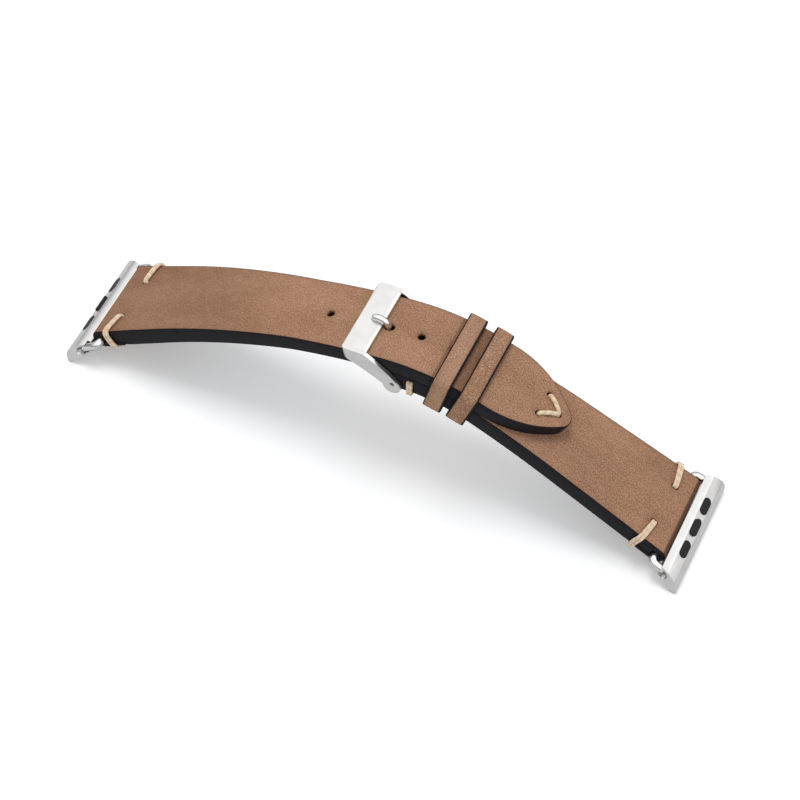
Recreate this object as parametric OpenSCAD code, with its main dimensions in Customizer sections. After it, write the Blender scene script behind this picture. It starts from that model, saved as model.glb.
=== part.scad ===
// Buckled leather watch strap standing as an arch on its two watch case adapters.
// X runs along the strap, Y across it and Z up. The adapters stand on z = 0 and
// the origin is below the middle of the whole strap. All sizes are in millimetres.

/* [Strap] */
// Width of both pieces where they meet the watch case
case_width = 20; // [19:0.5:20]
// Width of both pieces at the buckle
buckle_width = 16.1; // [15.5:0.1:16.2]
// Thickness of the long piece from the buckle to its tip
long_thickness = 3.45; // [3.2:0.05:3.5]
// How much thicker the long piece grows towards the watch case
case_end_growth = 0.55; // [0.4:0.05:0.6]
// Thickness of the short piece
short_thickness = 3.9; // [3.6:0.1:4]
// Thickness of the outer leather, which is turned round both bars
outer_leather = 1.3; // [1.2:0.05:1.35]
// Gap between the long piece's tail and the short piece under it
tail_gap = 0.15; // [0.1:0.05:0.2]

/* [Arch] */
// Height of the leather's highest line above the table
crown_height = 33.3; // [33:0.1:33.6]
// Distance of the highest line from the middle of the strap
crown_offset = 7.35; // [7.2:0.05:7.5]
// Bend radius over the crown, where the two pieces overlap
crown_radius = 41; // [40:0.5:42]
// Bend radius of the long piece's run to the watch case
long_radius = 147; // [145:1:149]
// Bend radius of the short piece's run to the watch case
short_radius = 172; // [168:1:176]
// Slope of the long piece where it leaves the crown bend
crown_left = 7.9; // [7.5:0.1:8.2]
// Slope of the tail where it leaves the crown bend
crown_right = 20.1; // [19.8:0.1:20.4]
// Slope of the long piece's straight end
long_slope = 29.2; // [29:0.1:29.4]
// Slope of the short piece's straight end
short_slope = 27.4; // [27.2:0.1:27.6]

/* [Holes and tail] */
// Distance between neighbouring buckle holes
hole_pitch = 6.65; // [6.6:0.05:6.75]
// Diameter of a buckle hole
hole_diameter = 1.84; // [1.8:0.02:1.9]
// How far the prong has stretched its own hole towards the case
hole_stretch = 0.5; // [0.45:0.05:0.55]
// Length of the tail from the crown line to its tip
tail_length = 33.2; // [32.8:0.1:33.6]
// Radius of the two long curves that draw the tail to a point
tail_curve = 22.5; // [22:0.5:23]
// Radius of the tail's rounded tip
tip_radius = 2.5; // [2.4:0.1:2.6]

/* [Keepers] */
// Length of a keeper along the strap
keeper_length = 3.85; // [3.7:0.05:4]
// Thickness of the keepers' leather
keeper_leather = 1.1; // [1:0.05:1.2]
// Distance from the crown line to the middle of the fixed keeper
fixed_keeper_at = 7.4; // [7.3:0.05:7.5]
// Distance from the crown line to the middle of the free keeper
free_keeper_at = 13.4; // [13.3:0.05:13.5]
// Gap between the keepers and the leather inside them
keeper_gap = 0.2; // [0.15:0.05:0.25]

/* [Buckle] */
// Width of the frame over its two arms
frame_width = 18.1; // [18:0.1:18.3]
// Thickness of each arm, across the strap
arm_thickness = 0.85; // [0.8:0.05:0.9]
// Length of the front bar along the strap
bar_length = 5.2; // [5.15:0.05:5.25]
// Height of the front bar's top above the leather
bar_top = 1.8; // [1.75:0.05:1.85]
// Gap between the front bar and the leather under it
bar_gap = 0.2; // [0.15:0.05:0.25]
// Radius of the round end of each arm
arm_end_radius = 1.85; // [1.8:0.05:1.9]
// Diameter of the prong
prong_diameter = 1.4; // [1.35:0.05:1.45]
// Diameter of the spring bar's tube
spring_bar_diameter = 1.6; // [1.5:0.05:1.6]

/* [Adapters] */
// Length of an adapter, across the strap
adapter_length = 26.9; // [26.5:0.1:27.2]
// Radius of the adapter's domed outer side
adapter_dome = 3.95; // [3.9:0.05:4]
// Length of a rubber pad and of the catch between them
pad_length = 4.1; // [4:0.1:4.2]
// Width of a rubber pad and of the catch
pad_width = 1.9; // [1.8:0.05:1.95]
// Distance from the catch to each rubber pad
pad_pitch = 5.6; // [5.4:0.1:5.8]
// How far the catch stands out of the adapter
catch_height = 0.45; // [0.4:0.05:0.5]
// Diameter of the wire bow that ties the adapter to the leather
bow_wire = 1.7; // [1.65:0.05:1.7]
// Distance from the long piece's bow bar to the middle of its adapter's section
long_reach = 5.6; // [5.5:0.05:5.7]
// The same on the short piece
short_reach = 4.2; // [4.15:0.05:4.25]

/* [Thread] */
// Thickness of one strand of the waxed thread
strand = 0.75; // [0.7:0.05:0.8]
// Distance from the strap's middle line to the case end stitches' holes
tack_hole = 4.9; // [4.8:0.1:5.2]

/* [Hidden] */
rad = PI / 180;
running = 0.05;                       // gap round a bar that turns
half_case = case_width / 2;
half_buckle = buckle_width / 2;
short_top = long_thickness + tail_gap; // the short piece's top, below the long piece's
arm_face = frame_width / 2 - arm_thickness;

// Lengths along the crown line at which the bends change, to the left and the right
crown_len_l = crown_radius * crown_left * rad;
bend_len_l = crown_len_l + long_radius * (long_slope - crown_left) * rad;
crown_len_r = crown_radius * crown_right * rad;
bend_len_r = crown_len_r + short_radius * (short_slope - crown_right) * rad;

function along(a) = [cos(a), sin(a)];
function out(a) = [-sin(a), cos(a)];

// Middles of the three bends, one smooth curve
crown_mid = [crown_offset, crown_height - crown_radius];
long_mid = crown_mid + (crown_radius - long_radius) * out(crown_left);
short_mid = crown_mid + (crown_radius - short_radius) * out(-crown_right);

// Slope of the strap at the length s from the crown line, left negative
function slope(s) = s < -bend_len_l ? long_slope
    : s < -crown_len_l ? crown_left - (s + crown_len_l) / long_radius / rad
    : s < crown_len_r ? -s / crown_radius / rad
    : s < bend_len_r ? -crown_right - (s - crown_len_r) / short_radius / rad
    : -short_slope;

// The point at length s, at depth t below the long piece's top surface, as [x, z]
function on(s, t = 0) = let (a = slope(s))
    s < -bend_len_l ? long_mid + (long_radius - t) * out(a) + (s + bend_len_l) * along(a)
    : s < -crown_len_l ? long_mid + (long_radius - t) * out(a)
    : s < crown_len_r ? crown_mid + (crown_radius - t) * out(a)
    : s < bend_len_r ? short_mid + (short_radius - t) * out(a)
    : short_mid + (short_radius - t) * out(a) + (s - bend_len_r) * along(a);

// Depth of the long piece's underside, which thickens towards the watch case
function long_under(s) = let (k = (-s - crown_len_l) / (bend_len_l - crown_len_l))
    long_thickness + case_end_growth * pow(min(1, max(0, k)), 2);

// Where the bars sit along the strap, and how deep
bow_bore = bow_wire / 2 + running;
bow_nose = bow_bore + outer_leather - 0.03;   // the bore just bites into the leather
pin_bore = spring_bar_diameter / 2 + running;
pin_nose = pin_bore + outer_leather - 0.03;
long_bow_s = -74.65;
short_bow_s = 61.95;
pin_s = -3.25;
long_bow_axis = on(long_bow_s, bow_nose);
short_bow_axis = on(short_bow_s, short_top + bow_nose);
pin_axis = on(pin_s, short_top + pin_nose);

first_hole = -20.55;
prong_hole = first_hole + 2 * hole_pitch;
bar_s = -11.25;
long_taper = [-65.65, -18.65];  // where the long piece's width changes
short_taper = [19.35, 67.15];    // where the short piece's width changes

tip_curve_s = tail_length - tip_radius
    - sqrt(pow(tail_curve - tip_radius, 2) - pow(tail_curve - half_buckle - 0.03, 2));
tail_cut_s = 27.5;

fold = 5.5;          // how far the turned-under leather runs back from a bar
fold_end = 0.6;      // its thickness there, shaved thin

keeper_depth = short_top + short_thickness;

// Adapter section: a domed outer side over a flat inner side
dome_drop = 1.25;    // the dome's middle below the section's middle line
flat_side = -0.3;
toe_radius = 0.5;
toe_x = sqrt(pow(adapter_dome - toe_radius, 2) - pow(dome_drop + flat_side + toe_radius, 2));
pad_face = adapter_dome - 0.15;
pad_at = [0, 0, pad_face - dome_drop];
end_curve = 14;      // plan radius of the adapter's rounded ends
bow_arm_y = 11.6;
bow_bend = 1.2;
bow_end = [1.1, 0.9];
peg_radius = 0.5;

// Tilt that brings an adapter's toe down to the table, for its bow bar's height h
function reach(side) = side < 0 ? long_reach : short_reach;
function toe_reach(side) = sqrt(pow(reach(side) + toe_x, 2) + pow(flat_side + toe_radius, 2));
function tilt(h, side) = asin((h - toe_radius) / toe_reach(side))
    + atan((flat_side + toe_radius) / (reach(side) + toe_x));

$fn = 48;

tan_leather = [0.61, 0.45, 0.36];
lining_leather = [0.16, 0.14, 0.14];
thread_cream = [0.87, 0.78, 0.63];
satin_steel = [0.80, 0.79, 0.77];
bright_steel = [0.88, 0.88, 0.88];
black_rubber = [0.07, 0.07, 0.08];

// A drawing in [x, z] made solid across the strap, from y0 to y1
module across(y0, y1) {
    translate([0, y1, 0]) rotate([90, 0, 0]) linear_extrude(y1 - y0) children();
}

// Children drawn flat at length s, with x along the strap and z out of the leather
module on_strap(s, up = 0) {
    p = on(s, -up);
    translate([p[0], 0, p[1]]) rotate([0, -slope(s), 0]) children();
}

// Steps of about 1.5 mm from s0 to s1
function steps(s0, s1) = let (n = ceil((s1 - s0) / 1.5)) [for (i = [0 : n]) s0 + (s1 - s0) * i / n];
function later(list) = [for (i = [1 : len(list) - 1]) list[i]];
function back(list) = [for (i = [len(list) - 1 : -1 : 0]) list[i]];

// Points round the turned edge at length s, from angle a0 to a1, on the arc round a bar
function turned_edge(s, depth, nose, a0, a1) = let (c = on(s, depth), n = 16)
    [for (i = [1 : n - 1]) c + nose * out(slope(s) + a0 - 90 + (a1 - a0) * i / n)];

// Seen from above, the long piece narrows to the buckle and stays narrow
module long_plan() {
    x0 = long_taper[0];
    x1 = long_taper[1];
    linear_extrude(50) polygon([[-75, -half_case], [x0, -half_case], [x1, -half_buckle],
        [60, -half_buckle], [60, half_buckle], [x1, half_buckle], [x0, half_case], [-75, half_case]]);
}

// The short piece widens from the buckle to the watch case
module short_plan() {
    x0 = short_taper[0];
    x1 = short_taper[1];
    linear_extrude(50) polygon([[-5, -half_buckle], [x0, -half_buckle], [x1, -half_case],
        [75, -half_case], [75, half_case], [x1, half_case], [x0, half_buckle], [-5, half_buckle]]);
}

// The tail's pointed outline, drawn from tail_cut_s
module tail_outline() {
    lean = tail_curve - half_buckle - 0.03;
    nose_x = tail_length - tip_radius - tail_cut_s;
    edge_x = nose_x + tip_radius * (nose_x + tail_cut_s - tip_curve_s) / (tail_curve - tip_radius);
    translate([nose_x, 0]) circle(tip_radius);
    intersection() {
        translate([tip_curve_s - tail_cut_s, -lean]) circle(tail_curve, $fn = 180);
        translate([tip_curve_s - tail_cut_s, lean]) circle(tail_curve, $fn = 180);
        translate([edge_x - 30, -15]) square([30, 30]);
    }
}

module off_the_tail() {
    on_strap(tail_cut_s) translate([0, 0, -8]) linear_extrude(14) difference() {
        translate([tip_curve_s - tail_cut_s, -12]) square([24, 24]);
        tail_outline();
    }
}

// Buckle holes through every layer, the prong's own one stretched to an oval
module buckle_holes() {
    for (i = [0 : 5]) on_strap(first_hole + i * hole_pitch) {
        translate([0, 0, -5]) cylinder(d = hole_diameter, h = 6);
        if (i == 2) {
            translate([-hole_stretch, 0, -5]) cylinder(d = hole_diameter, h = 6);
            translate([-hole_stretch, -hole_diameter / 2, -5]) cube([hole_stretch, hole_diameter, 6]);
        }
    }
}

strand_side = 0.44 * strand;   // half the distance between a stitch's two strands

// Where each tack's hole and its edge crossing lie: [hole s, edge s, side]
long_tack_at = [[-70.95, -71.95, -1], [-70.35, -69.4, 1]];
short_tack_at = [[58.3, 57.2, -1], [59, 58, 1]];
buckle_tack_at = [[0.75, 0.75, -1], [0.75, 0.75, 1]];

module tack_bores(list, depth, hole_y) {
    for (t = list) on_strap(t[0]) for (k = [-1, 1])
        translate([k * strand_side, t[2] * hole_y, -depth]) cylinder(d = strand + 0.15, h = depth + 1);
}

tail_stitch_at = [[30.35, 0.05], [26.6, -2.45], [26.95, 2.7]];
module tail_stitch_bores() {
    for (p = tail_stitch_at) on_strap(p[0]) translate([0, p[1], -2.6]) cylinder(d = 1.3, h = 4);
}

// The turned-under leather eases from the nose's full depth to the strap's underside
function fold_under(d, deep, under) = deep + (under - deep) * min(1, d / fold);
function fold_top(d, deep, under) = fold_under(d, deep, under)
    - outer_leather - (fold_end - outer_leather) * min(1, d / fold);

long_deep = 2 * bow_nose;
buckle_deep = 2 * pin_nose;
function long_fold_under(s) = fold_under(s - long_bow_s, long_deep, long_under(s));
function long_fold_top(s) = fold_top(s - long_bow_s, long_deep, long_under(s));
function buckle_fold_under(s) = short_top + fold_under(s - pin_s, buckle_deep, short_thickness);
function buckle_fold_top(s) = short_top + fold_top(s - pin_s, buckle_deep, short_thickness);
function case_fold_under(s) = short_top + fold_under(short_bow_s - s, long_deep, short_thickness);
function case_fold_top(s) = short_top + fold_top(short_bow_s - s, long_deep, short_thickness);

// Lengths at which the layers' outlines have their points
long_fold = steps(long_bow_s, long_bow_s + fold);
long_rest = steps(long_bow_s + fold, tail_length + 1);
buckle_fold = steps(pin_s, pin_s + fold);
short_rest = steps(pin_s + fold, short_bow_s - fold);
case_fold = steps(short_bow_s - fold, short_bow_s);
lining_start = 0.65;   // how far behind a bar's middle the lining begins

module long_cuts() {
    off_the_tail();
    buckle_holes();
    tack_bores(long_tack_at, 8, tack_hole);
    tail_stitch_bores();
}

module long_strap_leather() {
    color(tan_leather) difference() {
        intersection() {
            across(-15, 15) difference() {
                polygon(concat(
                    [for (s = back(concat(long_fold, later(long_rest)))) on(s)],
                    turned_edge(long_bow_s, bow_nose, bow_nose, 90, 270),
                    [for (s = long_fold) on(s, long_fold_under(s))],
                    [for (s = back(long_fold)) on(s, long_fold_top(s))],
                    [for (s = concat(long_fold, later(long_rest))) on(s, outer_leather)]));
                translate(long_bow_axis) circle(bow_bore);
            }
            long_plan();
        }
        long_cuts();
    }
}

module long_strap_lining() {
    first = concat([long_bow_s + lining_start], later(long_fold));
    color(lining_leather) difference() {
        intersection() {
            across(-15, 15) difference() {
                polygon(concat([for (s = concat(first, later(long_rest))) on(s, outer_leather)],
                    [for (s = back(long_rest)) on(s, long_under(s))],
                    [for (s = back(first)) on(s, long_fold_top(s))]));
                translate(long_bow_axis) circle(bow_bore);
            }
            long_plan();
        }
        long_cuts();
    }
}

// Room in the short piece's end for the prong's barrel
module prong_slot() {
    translate([pin_axis[0] - 4, -1.35, pin_axis[1] - 4]) cube([5.9, 2.7, 8]);
}

module short_cuts() {
    prong_slot();
    tack_bores(short_tack_at, 12, tack_hole);
    tack_bores(buckle_tack_at, 12, buckle_tack_hole);
}

module short_strap_leather() {
    run = concat(buckle_fold, later(short_rest), later(case_fold));
    color(tan_leather) difference() {
        intersection() {
            across(-15, 15) difference() {
                polygon(concat(
                    [for (s = run) on(s, short_top)],
                    turned_edge(short_bow_s, short_top + bow_nose, bow_nose, 90, -90),
                    [for (s = back(case_fold)) on(s, case_fold_under(s))],
                    [for (s = case_fold) on(s, case_fold_top(s))],
                    [for (s = back(run)) on(s, short_top + outer_leather)],
                    [for (s = buckle_fold) on(s, buckle_fold_top(s))],
                    [for (s = back(buckle_fold)) on(s, buckle_fold_under(s))],
                    turned_edge(pin_s, short_top + pin_nose, pin_nose, 270, 90)));
                translate(pin_axis) circle(pin_bore);
                translate(short_bow_axis) circle(bow_bore);
            }
            short_plan();
        }
        short_cuts();
    }
}

module short_strap_lining() {
    first = concat([pin_s + lining_start], later(buckle_fold));
    last = concat([for (i = [0 : len(case_fold) - 2]) case_fold[i]], [short_bow_s - lining_start]);
    color(lining_leather) difference() {
        intersection() {
            across(-15, 15) difference() {
                polygon(concat(
                    [for (s = concat(first, later(short_rest), later(last))) on(s, short_top + outer_leather)],
                    [for (s = back(last)) on(s, case_fold_top(s))],
                    [for (s = back(short_rest)) on(s, short_top + short_thickness)],
                    [for (s = back(first)) on(s, buckle_fold_top(s))]));
                translate(pin_axis) circle(pin_bore);
                translate(short_bow_axis) circle(bow_bore);
            }
            short_plan();
        }
        short_cuts();
    }
}

// A leather band round both pieces, its corners rounded
module keeper(s, lean = 0) {
    inner_w = half_buckle + keeper_gap;
    outer_w = inner_w + keeper_leather;
    top_in = keeper_gap;
    under_in = -keeper_depth - keeper_gap;
    on_strap(s) translate([0, 0, -keeper_depth / 2]) rotate([0, lean, 0]) translate([0, 0, keeper_depth / 2])
        rotate([90, 0, 90]) translate([0, 0, -keeper_length / 2]) linear_extrude(keeper_length)
        difference() {
            rounded(-outer_w, outer_w, under_in - keeper_leather, top_in + keeper_leather, 1.2);
            rounded(-inner_w, inner_w, under_in, top_in, 0.15);
        }
}

module rounded(x0, x1, y0, y1, r) {
    translate([x0 + r, y0]) square([x1 - x0 - 2 * r, y1 - y0]);
    translate([x0, y0 + r]) square([x1 - x0, y1 - y0 - 2 * r]);
    for (x = [x0 + r, x1 - r], y = [y0 + r, y1 - r]) translate([x, y]) circle(r, $fn = 32);
}

module fixed_keeper() { color(tan_leather) keeper(fixed_keeper_at, 3); }
module free_keeper() { color(tan_leather) keeper(free_keeper_at); }

// A strand laid through a list of points
module strand_run(points, d, sides = 8) {
    for (i = [0 : len(points) - 1]) {
        translate(points[i]) sphere(d = d, $fn = sides);
        if (i < len(points) - 1) rod(points[i], points[i + 1], d / 2, sides);
    }
}

module rod(p, q, r, sides = 32) {
    v = q - p;
    len = norm(v);
    translate(p) rotate([0, acos(v[2] / len), atan2(v[1], v[0])]) cylinder(r = r, h = len, $fn = sides);
}

// A point at length s, across y, and up above (or below) the top surface
function at(s, y, up) = let (p = on(s, -up)) [p[0], y, p[1]];

// Two strands looped round the leather's edge and back through their holes
module tack(t, top, under, hole_y, edge_y) {
    lift = strand / 2 + 0.02;
    for (k = [-1, 1]) {
        ds = k * strand_side;
        h = t[0] + ds;
        e = t[1] + ds;
        y0 = t[2] * hole_y;
        y1 = t[2] * (edge_y + lift);
        strand_run([at(h, y0, -top + lift), at(e, y1, -top + lift), at(e, y1, -under - lift),
            at(h, y0, -under - lift), at(h, y0, -top + lift)], strand);
    }
}

buckle_tack_hole = 4.6;
function long_edge(s) = let (x = on(s)[0]) half_buckle + (half_case - half_buckle)
    * min(1, max(0, (long_taper[1] - x) / (long_taper[1] - long_taper[0])));
function short_edge(s) = let (x = on(s, short_top)[0]) half_buckle + (half_case - half_buckle)
    * min(1, max(0, (x - short_taper[0]) / (short_taper[1] - short_taper[0])));

module long_tack(i) {
    t = long_tack_at[i];
    color(thread_cream) tack(t, 0, long_fold_under(t[0]) + 0.08,
        tack_hole, long_edge(t[1] + 0.5 * t[2]));
}
module short_tack(i) {
    t = short_tack_at[i];
    color(thread_cream) tack(t, short_top,
        case_fold_under(t[0]) + 0.12,
        tack_hole, short_edge(t[1] + 0.6));
}
module buckle_tack(i) {
    t = buckle_tack_at[i];
    color(thread_cream) tack_between(t);
}

// At the buckle the thread stays on the short piece's edge, under the long piece
module tack_between(t) {
    lift = strand / 2 + 0.02;
    for (k = [-1, 1]) {
        s = t[0] + k * strand_side;
        y1 = t[2] * (half_buckle + lift);
        top = short_top + 0.55;
        under = buckle_fold_under(s);
        strand_run([at(s, y1, -top), at(s, y1, -under - lift), at(s, t[2] * buckle_tack_hole, -under - lift),
            at(s, t[2] * buckle_tack_hole, -under + 1)], strand);
    }
}

module long_tack_near() { long_tack(0); }
module long_tack_far() { long_tack(1); }
module short_tack_near() { short_tack(0); }
module short_tack_far() { short_tack(1); }
module buckle_tack_near() { buckle_tack(0); }
module buckle_tack_far() { buckle_tack(1); }

// The V of thick thread at the tail's tip, its ends pushed down their holes
module tail_stitch() {
    d = 0.95;
    lift = d / 2 + 0.02;
    color(thread_cream) for (i = [1, 2]) {
        p = tail_stitch_at[0];
        q = tail_stitch_at[i];
        side = q[1] > 0 ? 1 : -1;
        strand_run([at(p[0], p[1] + side * 0.14, -2), at(p[0], p[1] + side * 0.14, 0.1),
            at(p[0] - 0.4, p[1] + side * 0.42, lift), at(q[0] + 0.4, q[1] - side * 0.3, lift), at(q[0], q[1], 0.1), at(q[0], q[1], -2)], d);
    }
}

// A place on the front bar's own axes: u along the strap, v out of the leather
function by_bar(u, v) = on(bar_s) + u * along(slope(bar_s)) + v * out(slope(bar_s));
function curve(a, b, c, d, t) = pow(1 - t, 3) * a + 3 * t * pow(1 - t, 2) * b
    + 3 * t * t * (1 - t) * c + pow(t, 3) * d;

function by_pin(u, v) = pin_axis + u * along(slope(bar_s)) + v * out(slope(bar_s));
arm_end = by_pin(-0.2, -0.75);    // middle of an arm's round end, below its hole
bar_back = 1.15;                  // height of the bar's top at its inner edge

// Side view of an arm: it leaves the front bar and swings down to the spring bar
module arm_side() {
    half = bar_length / 2;
    polygon(concat(
        [by_bar(-half, -0.5), by_bar(-half, bar_top - 0.4), by_bar(0.4 - half, bar_top)],
        [for (i = [0 : 10]) curve(by_bar(half - 0.1, bar_back), by_bar(half + 2, -0.9),
            by_pin(0.9, 2.2), arm_end + [arm_end_radius, 0], i / 10)],
        [arm_end],
        [for (i = [10 : -1 : 0]) curve(by_bar(0.5 - half, -1), by_bar(0.9, -2.6),
            by_pin(-3, 0.3), arm_end - [arm_end_radius, 0], i / 10)]));
    translate(arm_end) circle(arm_end_radius);
}

// Front bar: a wedge, thickest along its outer edge, bevelled along both edges
module bar_side() {
    half = bar_length / 2;
    polygon([by_bar(-half, bar_gap), by_bar(half, bar_gap), by_bar(half, bar_back - 0.4),
        by_bar(half - 0.45, bar_back), by_bar(0.4 - half, bar_top), by_bar(-half, bar_top - 0.4)]);
}

module frame_plan() {
    half = bar_length / 2;
    r = 1.3;
    w = frame_width / 2;
    on_strap(bar_s) translate([0, 0, -16]) linear_extrude(22) {
        translate([r - half, -w]) square([20, 2 * w]);
        translate([-half, r - w]) square([20, 2 * (w - r)]);
        for (y = [r - w, w - r]) translate([r - half, y]) circle(r);
    }
}

// The prong's middle line on the bar's axes: up through its hole, then back over the bar
prong_tip = [0.95, 1.98];
prong_rise = 93;                 // its direction through the hole
prong_over = 184;                // its direction over the bar
prong_bends = [1.5, 1.45];       // radii of the two bends between them
prong_crossing = [3.72, -3.8];  // where the first two runs' lines meet

module buckle_frame() {
    w = frame_width / 2;
    groove = prong_diameter / 2 + 0.08;
    color(satin_steel) difference() {
        intersection() {
            union() {
                across(-w, w) bar_side();
                across(-w, -arm_face) arm_side();
                across(arm_face, w) arm_side();
            }
            frame_plan();
        }
        translate([pin_axis[0], 0, pin_axis[1]]) rotate([90, 0, 0])
            cylinder(r = pin_tip_radius + running, h = 40, center = true);
        on_strap(bar_s) translate([prong_tip[0] - groove, 0, prong_tip[1] - 0.02]) {
            rotate([0, 90, 0]) cylinder(r = groove, h = 4);
            translate([0, -groove, 0]) cube([4, 2 * groove, 2]);
        }
    }
}

// Points round a bend of radius r that starts at a in the direction angle
function bend(a, angle, turn, r) = let (side = turn > 0 ? 1 : -1, n = 4)
    [for (i = [0 : n]) a + side * r * (out(angle) - out(angle + turn * i / n))];

// A round rod swept along a line of [x, z] points, with its own radius at each point
module swept_rod(line, radii, sides = 16) {
    last = len(line) - 1;
    function heading(i) = let (d = line[min(last, i + 1)] - line[max(0, i - 1)]) atan2(d[1], d[0]);
    rings = [for (i = [0 : last], k = [0 : sides - 1]) let (n = out(heading(i)), a = 360 * k / sides)
        [line[i][0] + radii[i] * cos(a) * n[0], radii[i] * sin(a), line[i][1] + radii[i] * cos(a) * n[1]]];
    function id(i, k) = i * sides + k % sides;
    polyhedron(rings, concat([[for (k = [sides - 1 : -1 : 0]) k]], [[for (k = [0 : sides - 1]) id(last, k)]],
        [for (i = [0 : last - 1], k = [0 : sides - 1]) [id(i, k), id(i, k + 1), id(i + 1, k + 1)]],
        [for (i = [0 : last - 1], k = [0 : sides - 1]) [id(i, k), id(i + 1, k + 1), id(i + 1, k)]]));
}

module buckle_prong() {
    start = pin_axis - on(bar_s);
    pin = [start * along(slope(bar_s)), start * out(slope(bar_s))];
    d1 = (prong_crossing - pin) / norm(prong_crossing - pin);
    lean1 = atan2(d1[1], d1[0]);
    up = along(prong_rise);
    over = along(prong_over);
    reach = prong_tip - prong_crossing;
    rise = (reach[0] * over[1] - reach[1] * over[0]) / (up[0] * over[1] - up[1] * over[0]);
    corner = prong_crossing + rise * up;
    turn1 = prong_rise - lean1;
    turn2 = prong_over - prong_rise;
    line = concat([pin + 1.3 * d1],
        bend(prong_crossing - prong_bends[0] * tan(abs(turn1) / 2) * d1, lean1, turn1, prong_bends[0]),
        bend(corner - prong_bends[1] * tan(abs(turn2) / 2) * up, prong_rise, turn2, prong_bends[1]),
        [for (a = [0 : 20 : 80]) prong_tip + prong_diameter / 2 * sin(a) * over]);
    radii = [for (i = [0 : len(line) - 1]) prong_diameter / 2 * (i < len(line) - 5 ? 1
        : cos(20 * (i - len(line) + 5)))];
    color(bright_steel) {
        translate([pin_axis[0], 0, pin_axis[1]]) rotate([90, 0, 0]) difference() {
            cylinder(r = 1.65, h = 2.2, center = true);
            cylinder(r = pin_bore, h = 4, center = true);
        }
        on_strap(bar_s) swept_rod(line, radii);
    }
}

// Spring bar: a tube in the leather's fold, with a sprung tip in each arm
tube_half = 7.5;
pin_tip_radius = 0.42;
shoulder_radius = 0.55;
shoulder_at = 7.95;
module spring_bar_tube() {
    color(bright_steel) translate([pin_axis[0], 0, pin_axis[1]]) rotate([90, 0, 0]) difference() {
        cylinder(d = spring_bar_diameter, h = 2 * tube_half, center = true);
        for (k = [-1, 1]) translate([0, 0, k * (tube_half - 1.9)])
            cylinder(r = shoulder_radius + running, h = 4, center = true);
    }
}
module spring_bar_tip(side) {
    color(bright_steel) translate([pin_axis[0], 0, pin_axis[1]]) rotate([-90 * side, 0, 0]) {
        translate([0, 0, 5.2]) cylinder(r = shoulder_radius, h = shoulder_at - 5.2);
        translate([0, 0, shoulder_at - 0.5]) cylinder(r = pin_tip_radius, h = frame_width / 2 - 0.15 - shoulder_at + 0.5);
    }
}
module spring_bar_tip_near() { spring_bar_tip(-1); }
module spring_bar_tip_far() { spring_bar_tip(1); }

// Children drawn on an adapter's own axes: x towards the bow, z out of the domed side
module on_adapter(axis, side) {
    translate([axis[0], 0, axis[1]]) mirror([side > 0 ? 1 : 0, 0, 0])
        rotate([0, -tilt(axis[1], side), 0]) translate([-reach(side), 0, 0]) children();
}

module adapter_section(side) {
    difference() {
        union() {
            intersection() {
                translate([0, -dome_drop]) circle(adapter_dome, $fn = 96);
                translate([-10, flat_side]) square([20, 10]);
                polygon([[0, -dome_drop], 4 * [toe_x, flat_side + toe_radius + dome_drop] - [0, dome_drop],
                    [0, 12], 4 * [-toe_x, flat_side + toe_radius + dome_drop] - [0, dome_drop]]);
            }
            translate([-toe_x, flat_side]) square([2 * toe_x, toe_radius]);
            translate([-toe_x, flat_side + toe_radius]) circle(toe_radius);
        }
        translate([-8, pad_face - dome_drop]) square([16, 4]);
        translate([reach(side), 0]) circle(bow_nose + 0.3);
    }
}

module stadium(l, w, z0, z1) {
    translate([0, 0, z0]) linear_extrude(z1 - z0) {
        for (k = [-1, 1]) translate([0, k * (l - w) / 2]) circle(d = w);
        square([w, l - w], center = true);
    }
}

module on_pad_face() { translate(pad_at) children(); }

module adapter_body(axis, side) {
    inset = end_curve - adapter_length / 2;
    arm_turn = atan2(bow_end[1], bow_end[0] - reach(side));
    color(satin_steel) on_adapter(axis, side) difference() {
        intersection() {
            across(-15, 15) adapter_section(side);
            translate([-3.5, inset, -6]) cylinder(r = end_curve, h = 14, $fn = 180);
            translate([-3.5, -inset, -6]) cylinder(r = end_curve, h = 14, $fn = 180);
        }
        on_pad_face() {
            for (k = [-1, 1]) translate([0, k * pad_pitch, 0]) stadium(pad_length, pad_width, -1.3, 2);
            stadium(pad_length, pad_width, -1.8, 2);
        }
        for (k = [-1, 1]) {
            translate([bow_end[0], k * (bow_arm_y + 0.6), bow_end[1]]) rotate([90, 0, 0])
                cylinder(r = bow_wire / 2 + 0.1, h = 3.1, center = true);
            translate([bow_end[0], k * (bow_arm_y - 1.3), bow_end[1]]) rotate([90, 0, 0])
                cylinder(r = peg_radius, h = 2.6, center = true);
            translate([bow_end[0], k * (bow_arm_y + 0.6), bow_end[1]]) rotate([0, 180 - arm_turn, 0])
                translate([0, -1.55, -bow_wire / 2 - 0.1]) cube([5, 3.1, bow_wire + 0.2]);
        }
    }
}

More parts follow.
